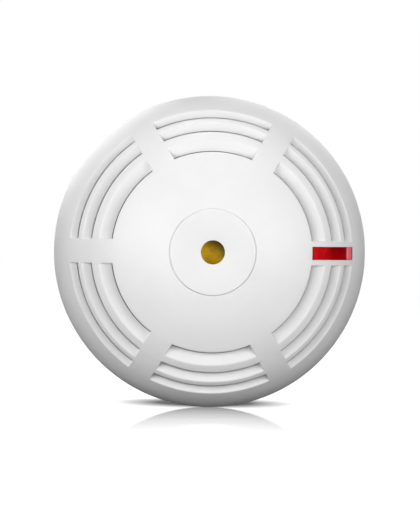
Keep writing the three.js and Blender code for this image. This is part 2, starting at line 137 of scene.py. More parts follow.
CAMERA_DISTANCE = 2.0  # metres
CAMERA_AIM = (0.23, -4.31)  # millimetres from the axis, right and up
FRAME_HEIGHT = 183.37  # millimetres seen at the widest part of the dome


def dome(r):
    return WIDEST_DEPTH + DOME_RISE * math.sqrt(max(0.0, 1 - (r / BODY_RADIUS) ** 2))


def inner(r):
    across = BODY_RADIUS - WALL
    return WIDEST_DEPTH + (DOME_RISE - WALL) * math.sqrt(max(0.0, 1 - (r / across) ** 2))


def bench(x, z, depth):
    """A place seen from the front, x right and z up, at a depth, in the frame's metres."""
    return (x * MM, -depth * MM, z * MM)


def point(r, angle, depth):
    return bench(r * math.cos(angle), r * math.sin(angle), depth)


# ---------------------------------------------------------------- mesh making

class Skin:
    """Gathers faces by their corner points, sharing the corners that coincide."""

    def __init__(self):
        self.places = {}
        self.points = []
        self.faces = []

    def corner(self, p):
        key = tuple(round(c * 1e7) for c in p)
        if key not in self.places:
            self.places[key] = len(self.points)
            self.points.append(p)
        return self.places[key]

    def face(self, *corners):
        ids = []
        for p in corners:
            i = self.corner(p)
            if i not in ids:
                ids.append(i)
        if len(ids) > 2:
            self.faces.append(ids)

    def strip(self, first, second):
        for i in range(len(first) - 1):
            self.face(first[i], first[i + 1], second[i + 1], second[i])

    def grid(self, rows):
        for a, b in zip(rows, rows[1:]):
            self.strip(a, b)


def finish_mesh(obj, sharp=33):
    """Faces turned outward, smooth except across edges sharper than the given angle."""
    bm = bmesh.new()
    bm.from_mesh(obj.data)
    bmesh.ops.remove_doubles(bm, verts=bm.verts, dist=1e-7)
    bmesh.ops.recalc_face_normals(bm, faces=bm.faces)
    limit = math.radians(sharp)
    for f in bm.faces:
        f.smooth = True
    for e in bm.edges:
        e.smooth = len(e.link_faces) == 2 and e.calc_face_angle(0) < limit
    bm.to_mesh(obj.data)
    bm.free()
    obj.data.update()


def add_object(name, points, faces, sharp=33):
    mesh = bpy.data.meshes.new(name)
    mesh.from_pydata(points, [], faces)
    obj = bpy.data.objects.new(name, mesh)
    bpy.context.scene.collection.objects.link(obj)
    finish_mesh(obj, sharp)
    return obj


def rounded(corners, steps=4):
    """A closed outline of (radius, depth, rounding) corners, with each rounding as an arc."""
    line = []
    count = len(corners)
    for i, (r, d, radius) in enumerate(corners):
        here = Vector((r, d))
        if radius <= 0:
            line.append((r, d))
            continue
        before = (Vector(corners[i - 1][:2]) - here)
        after = (Vector(corners[(i + 1) % count][:2]) - here)
        half = before.angle(after) / 2
        reach = min(radius / math.tan(half), 0.49 * before.length, 0.49 * after.length)
        arc = reach * math.tan(half)
        middle = (before.normalized() + after.normalized()).normalized() * (arc / math.sin(half))
        centre = here + middle
        start = here + before.normalized() * reach - centre
        end = here + after.normalized() * reach - centre
        turn = start.angle_signed(end)
        for s in range(steps + 1):
            a = -turn * s / steps
            c, k = math.cos(a), math.sin(a)
            line.append((centre.x + start.x * c - start.y * k, centre.y + start.x * k + start.y * c))
    return line


def lathe_skin(skin, outline, sides, place=point):
    """Turns a closed outline about the axis. Its points with radius 0 lie on the axis."""
    angles = [2 * math.pi * i / sides for i in range(sides)] + [0.0]
    for (r0, d0), (r1, d1) in zip(outline, outline[1:] + outline[:1]):
        if r0 == 0 and r1 == 0:
            continue
        skin.strip([place(r0, a, d0) for a in angles], [place(r1, a, d1) for a in angles])


def lathe(name, outline, sides=160, place=point, sharp=33):
    skin = Skin()
    lathe_skin(skin, outline, sides, place)
    return add_object(name, skin.points, skin.faces, sharp)


# ---------------------------------------------------------------- front cover

EDGE_STEPS = [math.radians(a) for a in (0, 18, 36, 54, 72, 90)]
EDGE_ROWS = [EDGE * (1 - math.sin(a)) for a in EDGE_STEPS]  # distance in from an edge
WINDOW_GAP = EDGE_ROWS[3]
CREASE = 0.45  # how far past its flush line a slot still softens the dome
INNER_ROW = SEAT_RADIUS + 2
OUTER_ROW = LOUVRES[-1][1] + CREASE


def drop(distance, radius):
    """How far a rounded edge lies below the face, at a distance in from the edge."""
    if distance >= radius or radius <= 0:
        return 0.0
    return radius - math.sqrt(max(0.0, radius ** 2 - (radius - distance) ** 2))


def soft_min(a, b, blend=0.35):
    return min(a, b) - max(blend - abs(a - b), 0.0) ** 2 / (4 * blend)


def spoke_top(r, p):
    """Depth of the dome on a spoke, at p to the side of its middle line."""
    depth = dome(r)
    side = SPOKE_HALF - abs(p)
    if r < LOUVRES[0][0]:
        return depth - drop(math.hypot(LOUVRES[0][0] - r, side), EDGE)
    for (lip, flush), (next_lip, _) in zip(LOUVRES, LOUVRES[1:] + [(BODY_RADIUS, 0)]):
        if lip <= r <= flush:
            return depth - drop(side, min(EDGE, 0.45 * (depth - dome(flush))))
        if flush < r < next_lip:
            if next_lip == BODY_RADIUS:
                return depth
            return depth - drop(math.hypot(next_lip - r, side), EDGE)
    return depth


def slot_top(r):
    """Depth of the front face between the spokes: dome, or the floor of a slot."""
    for lip, flush in LOUVRES:
        if r <= lip:
            return dome(r) - drop(lip - r, EDGE)
        if r <= flush + 1.0:
            return soft_min(dome(flush), dome(r))
    return dome(r)


def slot_under(r):
    first, (last, flush_last) = LOUVRES[0][0], LOUVRES[-1]
    if r <= first:
        return dome(r) - min(WALL, LIP + 0.2 * (first - r)) - EDGE
    for (lip, flush), (next_lip, _) in zip(LOUVRES, LOUVRES[1:]):
        if r <= next_lip:
            return min(dome(flush), dome(r) + 0.1) - LIP - EDGE
    if r > flush_last:
        return inner(r)
    start = dome(flush_last) - LIP
    return start + (inner(flush_last) - start) * (r - last - SLIT) / (flush_last - last - SLIT)


def spoke_under(r):
    first, last = LOUVRES[0][0], LOUVRES[-1][1]
    deepest = first + 1
    if r > last:
        return inner(r)
    if r < deepest:
        share = min(1.0, max(0.0, (r - first + 4) / 5))
        start = slot_under(min(r, first))
        return start + (dome(r) - RIB_DROP - start) * share
    share = (r - deepest) / (last - deepest)
    return dome(r) - RIB_DROP + (RIB_DROP - dome(last) + inner(last)) * share


def cover_rows():
    """Radii of the front face's rows as stretches, each with what lies between the spokes there."""
    crown = [INNER_ROW + 3.6 * i for i in range(4)] + [32.2, 33.2, 33.7]
    stretches = [("solid", crown + [LOUVRES[0][0] - e for e in EDGE_ROWS])]
    for (lip, flush), (next_lip, _) in zip(LOUVRES, LOUVRES[1:] + [(None, None)]):
        edge = lip + SLIT
        stretches.append(("slit", [lip, edge]))
        floor = [edge + (flush - 0.5 - edge) * i / 4 for i in range(5)]
        stretches.append(("solid", floor + [flush - 0.3, flush - 0.15, flush]))
        past = [flush, flush + WINDOW_GAP, flush + 0.16, flush + 0.28, flush + CREASE]
        if next_lip is not None:
            start, end = past[-1], next_lip - EDGE
            past += [start + (end - start) * i / 3 for i in range(1, 3)]
            past += [next_lip - e for e in EDGE_ROWS]
        stretches.append(("solid", past))
    return stretches


P_COLUMNS = sorted({
    sign * p
    for p in [0, 1.2, WINDOW_HALF + WINDOW_GAP, 3.0] + [SPOKE_HALF - e for e in EDGE_ROWS]
    for sign in (-1, 1)
})
SLOT_COLUMNS = [i / 40 for i in range(41)]
SECTOR = 2 * math.pi / SPOKES


def spoke_line(k, r, depth_of):
    return [point(r, k * SECTOR + math.asin(p / r), depth_of(r, p)) for p in P_COLUMNS]


def slot_line(k, r, depth):
    half = math.asin(SPOKE_HALF / r)
    span = SECTOR - 2 * half
    return [point(r, k * SECTOR + half + u * span, depth) for u in SLOT_COLUMNS]


def cover_band(skin):
    """The dome from the cap's seat to past the last slot: front and back faces and slot walls."""
    for kind, radii in cover_rows():
        for a, b in zip(radii, radii[1:]):
            opened = a > WINDOW_START - 1e-6 and b < WINDOW_END + 1e-6
            for k in range(SPOKES):
                spoke_faces(skin, k, a, b, opened and k == 0)
                side_walls(skin, kind, a, b, k)
                if kind == "solid":
                    for depth in (slot_top, slot_under):
                        skin.strip(slot_line(k, a, depth(a)), slot_line(k, b, depth(b)))
                else:
                    for r in (a, b):
                        skin.strip(slot_line(k, r, slot_top(r)), slot_line(k, r, slot_under(r)))


def spoke_faces(skin, k, a, b, opened):
    """The spoke's front and back over one row, with the window's hole left out where it is opened."""
    left = P_COLUMNS.index(-WINDOW_HALF - WINDOW_GAP)
    right = P_COLUMNS.index(WINDOW_HALF + WINDOW_GAP)
    lines = {}
    for r in (a, b):
        lines[r] = [spoke_line(k, r, spoke_top), spoke_line(k, r, lambda r, p: spoke_under(r))]
    for first, second in zip(lines[a], lines[b]):
        if opened:
            skin.strip(first[:left + 1], second[:left + 1])
            skin.strip(first[right:], second[right:])
        else:
            skin.strip(first, second)
    if opened:
        for i in (left, right):
            skin.face(lines[a][0][i], lines[b][0][i], lines[b][1][i], lines[a][1][i])
        for r in (a, b):
            if min(abs(r - WINDOW_START), abs(r - WINDOW_END)) < 1e-6:
                skin.strip(lines[r][0][left:right + 1], lines[r][1][left:right + 1])


def side_walls(skin, kind, a, b, k):
    """The spoke's two sides over one row, wherever the slots' faces lie below or above the spoke's."""
    for sign in (-1, 1):
        def at(r, depth):
            return point(r, k * SECTOR + sign * math.asin(SPOKE_HALF / r), depth)
        top = [at(r, spoke_top(r, SPOKE_HALF)) for r in (a, b)]
        under = [at(r, spoke_under(r)) for r in (a, b)]
        slot = [at(r, slot_top(r)) for r in (a, b)]
        below = [at(r, slot_under(r)) for r in (a, b)]
        if kind == "slit":
            skin.face(top[0], slot[0], below[0], under[0], under[1], below[1], slot[1], top[1])
        else:
            skin.face(top[0], top[1], slot[1], slot[0])
            skin.face(below[0], below[1], under[1], under[0])


def full_line(r, depth):
    line = []
    for k in range(SPOKES):
        line += spoke_line(k, r, lambda r, p: depth) + slot_line(k, r, depth)
    return line + line[:1]


def cover_centre():
    """Outline of the cap's seat, from the front face round the bore to the back face."""
    seat = CAP_FACE - CAP_THICKNESS - 0.05
    turn = 0.06
    steps = [(SEAT_RADIUS + turn * (1 - math.sin(t)), dome(SEAT_RADIUS) - turn * (1 - math.cos(t)))
             for t in EDGE_STEPS[1:]]
    under = slot_under(INNER_ROW)
    return [
        (INNER_ROW, slot_top(INNER_ROW)), (SEAT_RADIUS + 0.9, dome(SEAT_RADIUS + 0.9)),
        (SEAT_RADIUS + turn, dome(SEAT_RADIUS)), *steps,
        (SEAT_RADIUS, seat), (CROWN_BORE, seat), (CROWN_BORE, under), (INNER_ROW, under),
    ]


def cover_skirt():
    """Outline from past the last slot over the widest part, round the back edge and up the inside."""
    start = math.acos(OUTER_ROW / BODY_RADIUS)
    turns = [start * (1 - i / 16) for i in range(17)]
    outside = [(BODY_RADIUS * math.cos(t), WIDEST_DEPTH + DOME_RISE * math.sin(t)) for t in turns]
    below = WIDEST_DEPTH - SKIRT_DEPTH
    tuck = [(BODY_RADIUS - 0.7 * s ** 2, WIDEST_DEPTH - below * s) for s in (0.2, 0.4, 0.6, 0.75, 0.88)]
    foot, turn = tuck[-1][0], below * 0.12
    edge = [(foot - turn * (1 - math.cos(t)), SKIRT_DEPTH + turn * (1 - math.sin(t))) for t in EDGE_STEPS[1:]]
    across = BODY_RADIUS - WALL
    back = math.acos(OUTER_ROW / across)
    inside = [(across * math.cos(back * i / 12), WIDEST_DEPTH + (DOME_RISE - WALL) * math.sin(back * i / 12))
              for i in range(13)]
    return outside + tuck + edge + [(across - 0.5, SKIRT_DEPTH), (across - 0.1, 16.5)] + inside


def front_cover():
    skin = Skin()
    cover_band(skin)
    for path in (cover_centre(), cover_skirt()):
        skin.grid([full_line(r, depth) for r, depth in path])
    cover = add_object("front_cover_moulding", skin.points, skin.faces, 38)
    return cover


WINDOW_START = LOUVRES[0][0] - WINDOW_GAP
WINDOW_END = LOUVRES[-1][1] + WINDOW_GAP


# ---------------------------------------------------------------- other pieces of the head

def centre_cap():
    back = CAP_FACE - CAP_THICKNESS
    spigot = CROWN_BORE - 0.15
    return lathe("centre_cap_disc", rounded([
        (PORT_RADIUS, back, 0.2), (spigot - 1.4, back, 0.3), (spigot - 1.4, back - 3.6, 0.2),
        (spigot, back - 3.6, 0.3), (spigot, back, 0), (CAP_RADIUS, back, 0.1),
        (CAP_RADIUS, CAP_FACE, 0.65), (PORT_RADIUS, CAP_FACE, 0.12),
    ]), 200)


def indicator_window():
    """Curved red bar with a light guide below it; fine ribs across its back scatter the lamp's light."""
    half, start, end = WINDOW_HALF, LOUVRES[0][0], LOUVRES[-1][1]
    guide = (-window_high[1], 36.4, 39.6)
    rows = 56
    across = [-half, -half + 0.06, -half + 0.2, -half / 2, 0, half / 2, half - 0.2, half - 0.06, half]
    sunk = [0.16, 0.05, 0, 0, 0, 0, 0, 0.05, 0.16]
    skin = Skin()
    front, back = [], []
    for i in range(rows + 1):
        r = start + (end - start) * i / rows
        bend = 0.9 * max(0.0, (r - 46.0) / (end - 46.0)) ** 2
        rib = 0.12 * (i % 2)
        front.append([bench(r, p, dome(r) - 0.08 - s - bend) for p, s in zip(across, sunk)])
        back.append([bench(r, p, dome(r) - 3 - rib) for p in across])
    skin.grid(front)
    skin.grid(back)
    for edge in (0, -1):
        skin.strip([row[edge] for row in front], [row[edge] for row in back])
        skin.strip(front[edge], back[edge])
    bar = add_object("window_bar", skin.points, skin.faces, 50)
    return bar, guide


def heat_collector():
    face = -collector_low[1]
    radius = collector_high[0]
    under = face - 1.7
    return lathe("heat_collector_cup", [
        (0, under - 0.7), (1.2, under - 0.7), (1.2, -collector_high[1]), (1.9, -collector_high[1]),
        (1.9, under), (radius - 0.2, under), (radius, under + 0.2), (radius, face - 0.3),
        (radius - 0.1, face - 0.08), (radius - 0.3, face),
        *[(DISH[0] * s, face - DISH[1] * (1 - s ** 2)) for s in (1, 0.92, 0.84, 0.75, 0.6, 0.45, 0.3, 0.15)],
        (0, face - DISH[1]),
    ], 96)


def sensor_tower():
    top, foot = -tower_low[1], -tower_high[1]
    radius = tower_high[0]
    return lathe("sensor_tower_post", rounded([
        (3, foot, 0.1), (radius, foot, 0.2), (radius, foot + 1.4, 0.4), (4.4, foot + 2.4, 0.8),
        (4.4, top - 7.9, 1.5), (7.2, top - 4.9, 1.0), (7.2, top, 0.3), (6, top, 0.3),
        (6, top - 3.9, 0.5), (3, top - 5.4, 0.3),
    ]), 72)


def inner_shield():
    top, foot = -shield_low[1], -shield_high[1]
    radius, bore, thick = shield_high[0], 4.9, 1.4
    return lathe("inner_shield_can", rounded([
        (bore, top - thick, 0.2), (radius - thick, top - thick, 0.8), (radius - thick, foot, 0.2),
        (radius, foot, 0.2), (radius, top, 1.4), (bore, top, 0.4),
    ]), 160)


def cover_bosses():
    made = []
    for k, angle in enumerate((60, 180, 300)):
        a = math.radians(angle)
        x, z = 45 * math.cos(a), 45 * math.sin(a)
        place = lambda r, t, d: bench(x + r * math.cos(t), z + r * math.sin(t), d)
        outline = rounded([(1.6, 16.9, 0.2), (3.1, 16.9, 0.3), (3.4, 36.8, 0), (1.6, 36.8, 0)])
        made.append(lathe(f"cover_boss_{k + 1}", outline, 32, place))
    return made


# ---------------------------------------------------------------- base

def prism(name, outline, near, far, place=bench):
    """A flat outline of (x, z) points given thickness from one depth to another."""
    skin = Skin()
    count = len(outline)
    for i in range(count):
        (x0, z0), (x1, z1) = outline[i], outline[(i + 1) % count]
        skin.face(place(x0, z0, near), place(x1, z1, near), place(x1, z1, far), place(x0, z0, far))
    for depth in (near, far):
        skin.face(*[place(x, z, depth) for x, z in outline])
    return add_object(name, skin.points, skin.faces)


def circle(radius, x=0.0, z=0.0, sides=48):
    turn = 2 * math.pi / sides
    return [(x + radius * math.cos(i * turn), z + radius * math.sin(i * turn)) for i in range(sides)]


def capsule(length, width, x, z, sides=48):
    """A slot with round ends, along x."""
    reach = (length - width) / 2
    return [(px + math.copysign(reach, px - x), pz) for px, pz in circle(width / 2, x, z, sides)
            if abs(px - x) > 1e-6] if reach else circle(width / 2, x, z, sides)


def sector(near, far, start, end, steps=8):
    """A piece of a ring between two radii and two angles in degrees."""
    angles = [math.radians(start + (end - start) * i / steps) for i in range(steps + 1)]
    outer = [(far * math.cos(a), far * math.sin(a)) for a in angles]
    return outer + [(near * math.cos(a), near * math.sin(a)) for a in reversed(angles)]


def turned_square(half, radius, angle):
    a = math.radians(angle)
    corners = [(radius + sx * half, sz * half * 1.1) for sx, sz in ((1, 1), (-1, 1), (-1, -1), (1, -1))]
    return [(x * math.cos(a) - z * math.sin(a), x * math.sin(a) + z * math.cos(a)) for x, z in corners]


def ring_tool(name, radius, near, far, width, x=0.0, z=0.0, sides=96):
    place = lambda r, t, d: bench(x + r * math.cos(t), z + r * math.sin(t), d)
    outline = [(radius - width / 2, near), (radius + width / 2, near),
               (radius + width / 2, far), (radius - width / 2, far)]
    return lathe(name, outline, sides, place)


def combine(obj, tools, operation):
    """Joins the tools to the object or cuts them from it, one after another, and removes them."""
    for tool in tools:
        step = obj.modifiers.new("combine", "BOOLEAN")
        step.operation = operation
        step.solver = "EXACT"
        step.object = tool
        shown = obj.evaluated_get(bpy.context.evaluated_depsgraph_get())
        made = bpy.data.meshes.new_from_object(shown)
        obj.modifiers.clear()
        old, obj.data = obj.data, made
        bpy.data.meshes.remove(old)
        bpy.data.objects.remove(tool)


TERMINAL_ANGLES = (45, 135, 225, 315)
BAYONET_ANGLES = (90, 210, 330)


def base_plate():
    web, height, back = 2.5, BASE_HEIGHT, BASE_RADIUS - 1.0
    dish = lathe("base_dish", rounded([
        (0, 0, 0), (back, 0, 0.6), (BASE_RADIUS, height, 0.6), (49.3, height, 0.3),
        (49.3, web, 0.8), (0, web, 0),
    ]), 180)
    lips = [prism("lip", sector(41.2, 44.6, a - 12.5, a + 12.5), 8.1, 10.1) for a in BAYONET_ANGLES]
    stops = [prism("stop", sector(41.2, 44.6, a + s, a + s + 2.6, 2), 2, 10.1)
             for a in BAYONET_ANGLES for s in (-12.5, 32)]
    wall = lathe("wall", [(44, 2), (46, 2), (46, 11.8), (44, 11.8)], 180)
    plinths = [prism("plinth", turned_square(5, 30, a), 2, 4.5) for a in TERMINAL_ANGLES]
    peg_place = lambda r, t, d: bench(r * math.cos(t), -30 + r * math.sin(t), d)
    peg = lathe("peg", [(0, 2), (3, 2), (2.2, 8.7), (0, 8.7)], 24, peg_place)
    combine(dish, [wall, *lips, *stops, *plinths, peg], "UNION")
    slots = [prism("slot", capsule(12, 4.5, side * 30, 0), -1, 4) for side in (-1, 1)]
    sinks = [prism("sink", capsule(15.5, 8, side * 30, 0), 1.5, 4) for side in (-1, 1)]
    entry = prism("entry", capsule(20, 13, 0, 20), -1, 4)
    grooves = [
        ring_tool("groove", 46.6, -1, 0.4, 0.9, sides=180),
        ring_tool("knock", 6.2, -1, 0.5, 0.5, 0, -17, 48),
    ]
    bores = [prism("bore", circle(1.8, 30 * math.cos(math.radians(a)), 30 * math.sin(math.radians(a)), 24), 1.2, 6)
             for a in TERMINAL_ANGLES]
    combine(dish, [*slots, *sinks, entry, *grooves, *bores, *wall_knockouts()], "DIFFERENCE")
    finish_mesh(dish, 33)
    soften(dish, 0.18)
    return dish


def wall_knockouts():
    """Shallow outlines on the rim where it can be broken out for a surface cable."""
    tools = []
    for angle in (90, 270):
        a = math.radians(angle)
        for low, high, wide in ((3.0, 3.5, 9.0), (9.0, 9.5, 9.0)):
            tools.append((a, low, high, -wide / 2, wide / 2))
        tools.append((a, 3.0, 9.5, -4.5, -4.0))
        tools.append((a, 3.0, 9.5, 4.0, 4.5))
    made = []
    for a, low, high, left, right in tools:
        depth_in = BASE_RADIUS - 1.1
        corners = [(depth_in, left), (depth_in + 4, left), (depth_in + 4, right), (depth_in, right)]
        turned = [(x * math.cos(a) - z * math.sin(a), x * math.sin(a) + z * math.cos(a)) for x, z in corners]
        made.append(prism("knockout", turned, low, high))
    return made


def shade_by_area(obj):
    """Keeps large flat faces flat in shading, next to the small faces of rounded edges."""
    normals = obj.modifiers.new("shade", "WEIGHTED_NORMAL")
    normals.keep_sharp = True
    normals.weight = 100


def soften(obj, width, angle=35):
    """Small rounding along the sharp edges, in millimetres."""
    bevel = obj.modifiers.new("edge", "BEVEL")
    bevel.width = width * MM
    bevel.segments = 2
    bevel.limit_method = "ANGLE"
    bevel.angle_limit = math.radians(angle)
    shade_by_area(obj)


# ---------------------------------------------------------------- materials

class Finish:
    """A node material: Principled, fed by patterns in the piece's own space, in millimetres."""

    def __init__(self, name, colour, roughness, metallic=0.0):
        self.mat = bpy.data.materials.new(name)
        self.mat.use_nodes = True
        self.nodes = self.mat.node_tree.nodes
        self.links = self.mat.node_tree.links
        self.shader = self.nodes["Principled BSDF"]
        self.set(**{"Base Color": (*colour, 1), "Roughness": roughness, "Metallic": metallic})
        self.colour = colour
        self.roughness = roughness
        place = self.nodes.new("ShaderNodeTexCoord")
        scale = self.nodes.new("ShaderNodeMapping")
        scale.inputs["Scale"].default_value = (1 / MM,) * 3
        self.links.new(place.outputs["Object"], scale.inputs["Vector"])
        self.space = scale.outputs["Vector"]
        self.height = None
        self.mat.diffuse_color = (*colour, 1)

    def set(self, **values):
        for socket, value in values.items():
            self.shader.inputs[socket].default_value = value

    def noise(self, size, detail=3, rough=0.55):
        node = self.nodes.new("ShaderNodeTexNoise")
        node.inputs["Scale"].default_value = 1 / size
        node.inputs["Detail"].default_value = detail
        node.inputs["Roughness"].default_value = rough
        self.links.new(self.space, node.inputs["Vector"])
        return node.outputs["Fac"]

    def ramp(self, value, low, high, start=0.3, end=0.7):
        node = self.nodes.new("ShaderNodeMapRange")
        node.inputs["From Min"].default_value = start
        node.inputs["From Max"].default_value = end
        node.inputs["To Min"].default_value = low
        node.inputs["To Max"].default_value = high
        self.links.new(value, node.inputs["Value"])
        return node.outputs["Result"]

    def tint(self, value, colour, amount, start=0.35, end=0.7):
        """Mixes a second colour in where the pattern is high."""
        mix = self.nodes.new("ShaderNodeMix")
        mix.data_type = "RGBA"
        base = self.shader.inputs["Base Color"]
        if base.is_linked:
            self.links.new(base.links[0].from_socket, mix.inputs["A"])
        else:
            mix.inputs["A"].default_value = base.default_value
        mix.inputs["B"].default_value = (*colour, 1)
        self.links.new(self.ramp(value, 0, amount, start, end), mix.inputs["Factor"])
        self.links.new(mix.outputs["Result"], base)

    def vary_roughness(self, value, spread):
        low, high = self.roughness - spread, self.roughness + spread
        self.links.new(self.ramp(value, low, high), self.shader.inputs["Roughness"])

    def bump(self, value, depth, strength=1.0):
        """Adds a pattern to the surface, its depth in millimetres."""
        node = self.nodes.new("ShaderNodeBump")
        node.inputs["Distance"].default_value = depth * MM
        node.inputs["Strength"].default_value = strength
        self.links.new(value, node.inputs["Height"])
        if self.height is not None:
            self.links.new(self.height, node.inputs["Normal"])
        self.height = node.outputs["Normal"]
        self.links.new(self.height, self.shader.inputs["Normal"])


def moulded(name, colour, roughness, grain=0.35, depth=0.012):
    """Satin moulding: fine spark-eroded grain, slow colour drift and uneven sheen."""
    f = Finish(name, colour, roughness)
    f.tint(f.noise(14, 2), [c * 0.965 for c in colour], 0.8)
    f.tint(f.noise(1.1, 4, 0.7), [c * 0.97 for c in colour], 0.5, 0.45, 0.75)
    f.vary_roughness(f.noise(4, 3), 0.035)
    f.bump(f.noise(grain, 2, 0.6), depth)
    f.bump(f.noise(22, 1), 0.05, 0.6)
    return f


def metal(name, colour, roughness, line=0.4):
    f = Finish(name, colour, roughness, 1.0)
    f.tint(f.noise(2.2, 4), [c * 0.8 for c in colour], 0.6)
    f.vary_roughness(f.noise(0.8, 4), 0.08)
    f.bump(f.noise(line, 3), 0.01)
    return f


def red_acrylic():
    """Deep red, brighter where the light guide meets it and along its bottom edge, which is painted light, and
    pink at the outer end, which is a painted highlight.
    """
    f = Finish("red_acrylic", (0.3, 0.001, 0.003), 0.14)
    split = f.nodes.new("ShaderNodeSeparateXYZ")
    f.links.new(f.space, split.inputs[0])
    ribs = f.nodes.new("ShaderNodeTexWave")
    ribs.inputs["Scale"].default_value = 0.45
    ribs.inputs["Distortion"].default_value = 0.3
    f.links.new(f.space, ribs.inputs["Vector"])
    # painted light: the red is brighter toward the bar's bottom edge, with a painted glow over the light guide,
    # set by position
    painted_low_light = f.ramp(split.outputs["Z"], 1, 0, -2.2, 1.2)
    painted_guide_glow = f.ramp(split.outputs["X"], 1, 0, 39.0, 41.5)
    f.tint(painted_low_light, (0.6, 0.003, 0.006), 0.8, 0, 1)
    f.tint(painted_guide_glow, (0.85, 0.01, 0.013), 0.75, 0, 1)
    f.tint(ribs.outputs["Fac"], (0.26, 0.001, 0.003), 0.4, 0.5, 1)
    f.tint(f.noise(1.6, 3), (0.24, 0.0, 0.002), 0.5)
    # painted highlight: pink colour at the bar's outer end, where a lamp's reflection falls
    f.tint(split.outputs["X"], (1, 0.19, 0.22), 0.95, 46.3, 46.8)
    f.vary_roughness(f.noise(2.5, 2), 0.03)
    f.set(**{"IOR": 1.49, "Specular Tint": (1, 0.36, 0.4, 1), "Coat Weight": 0.1, "Coat Roughness": 0.12})
    f.bump(ribs.outputs["Fac"], 0.002)
    return f


def turned_brass():
    """Brass with fine rings left by the lathe, and painted shade that deepens toward the upper right."""
    f = metal("turned_brass", (0.56, 0.34, 0.004), 0.6)
    f.set(**{"Metallic": 0.35, "Specular IOR Level": 0.15})
    f.tint(f.noise(1.3, 4, 0.7), (0.36, 0.2, 0.02), 0.7, 0.4, 0.65)
    rings = f.nodes.new("ShaderNodeTexWave")
    rings.wave_type = "RINGS"
    rings.rings_direction = "Y"
    rings.inputs["Scale"].default_value = 1.1
    rings.inputs["Distortion"].default_value = 0.4
    f.links.new(f.space, rings.inputs["Vector"])
    f.bump(rings.outputs["Fac"], 0.004)
    # painted shade: the colour darkens toward the upper right of the collector's face
    toward = f.nodes.new("ShaderNodeVectorMath")
    toward.operation = "DOT_PRODUCT"
    toward.inputs[1].default_value = (0.8, 0, 0.6)
    f.links.new(f.space, toward.inputs[0])
    f.tint(toward.outputs["Value"], (0.05, 0.035, 0.002), 0.94, -0.6, 4.0)
    return f


def solder_mask():
    """Green lacquer over copper tracks, which show as a faint raised pattern."""
    f = Finish("solder_mask", (0.012, 0.11, 0.035), 0.35)
    tracks = f.nodes.new("ShaderNodeTexBrick")
    tracks.inputs["Scale"].default_value = 0.35
    tracks.inputs["Mortar Size"].default_value = 0.06
    turn = f.nodes.new("ShaderNodeMapping")
    turn.inputs["Rotation"].default_value = (math.radians(90), 0, 0)
    f.links.new(f.space, turn.inputs["Vector"])
    f.links.new(turn.outputs["Vector"], tracks.inputs["Vector"])
    f.tint(tracks.outputs["Fac"], (0.03, 0.2, 0.07), 0.9, 0.4, 0.6)
    f.tint(f.noise(3, 3), (0.008, 0.07, 0.02), 0.5)
    f.vary_roughness(f.noise(1.5, 3), 0.08)
    f.bump(tracks.outputs["Fac"], 0.03)
    return f


def epoxy(name, colour, roughness=0.55):
    f = Finish(name, colour, roughness)
    f.tint(f.noise(0.6, 4), [c * 1.7 for c in colour], 0.6)
    f.vary_roughness(f.noise(0.9, 3), 0.1)
    f.bump(f.noise(0.18, 3), 0.012)
    return f


def tinted_glass():
    f = Finish("tinted_glass", (0.6, 0.78, 0.66), 0.06)
    f.tint(f.noise(1.5, 3), (0.45, 0.62, 0.5), 0.6)
    f.set(**{"Transmission Weight": 0.8, "IOR": 1.5})
    f.bump(f.noise(1.2, 2), 0.01)
    return f


SHELL_WHITE = (0.87, 0.87, 0.868)


def dress_all():
    """Gives every shown piece its finish, by the record's material slot."""
    finishes = {
        "cover_white": moulded("shell_white", SHELL_WHITE, 0.42),
        "base_white": moulded("base_white", [c * 0.975 for c in SHELL_WHITE], 0.46),
        "chassis_white": moulded("chassis_white", [c * 0.94 for c in SHELL_WHITE], 0.5, 0.5, 0.018),
        "window_red": red_acrylic(),
        "brass": metal("brass_strip", (0.56, 0.36, 0.07), 0.34),
        "steel": metal("zinc_plated_steel", (0.6, 0.61, 0.63), 0.3),
        "board_green": solder_mask(),
        "chip_black": epoxy("black_epoxy", (0.02, 0.02, 0.022)),
        "can_metal": metal("drawn_can", (0.62, 0.63, 0.65), 0.28, 0.7),
        "ceramic_blue": epoxy("blue_ceramic", (0.02, 0.09, 0.26), 0.35),
        "bead_black": epoxy("dark_bead", (0.018, 0.017, 0.016), 0.3),
        "reed_glass": tinted_glass(),
    }
    slots = {row["node"]: row["material_slot"] for row in frame["record"]["subparts"]}
    for node, slot in slots.items():
        obj = bpy.data.objects[node]
        obj.data.materials.clear()
        obj.data.materials.append(finishes[slot].mat)
        smooth_node(obj)
    collector = turned_brass()
    for obj, slot in MADE:
        finish = collector if obj.name.startswith("heat_collector") else finishes[slot]
        obj.data.materials.clear()
        obj.data.materials.append(finish.mat)


def smooth_node(obj):
    """Rounds the edges of a carried-over solid a little, without touching its mesh."""
    bevel = obj.modifiers.new("edge", "BEVEL")
    bevel.width = 0.12 * MM
    bevel.segments = 2
    bevel.limit_method = "ANGLE"
    bevel.angle_limit = math.radians(40)
    shade_by_area(obj)


# ---------------------------------------------------------------- assembly

MADE = []


def fit(piece, node, body):
    """Puts a finished piece in place of its CAD node."""
    slot = next(row["material_slot"] for row in frame["record"]["subparts"] if row["node"] == node)
    MADE.append((piece, slot))
    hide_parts(node)
    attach(piece, body)


def assemble():
    fit(front_cover(), "front_cover", "head")
    for boss in cover_bosses():
        MADE.append((boss, "cover_white"))
        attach(boss, "head")
    fit(centre_cap(), "centre_cap", "head")
    bar, (guide_end, guide_in, guide_out) = indicator_window()
    fit(bar, "indicator_window", "head")
    sides = [(guide_in, -1.9), (guide_out, -1.9), (guide_out, 1.9), (guide_in, 1.9)]
    guide = prism("window_light_guide", sides,
                  guide_end, dome(guide_out) - 3.2)
    MADE.append((guide, "window_red"))
    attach(guide, "head")
    fit(heat_collector(), "heat_collector", "head")
    fit(sensor_tower(), "sensor_tower", "head")
    fit(inner_shield(), "inner_shield", "head")
    fit(base_plate(), "base_plate", "base")


# ---------------------------------------------------------------- stage, light and camera

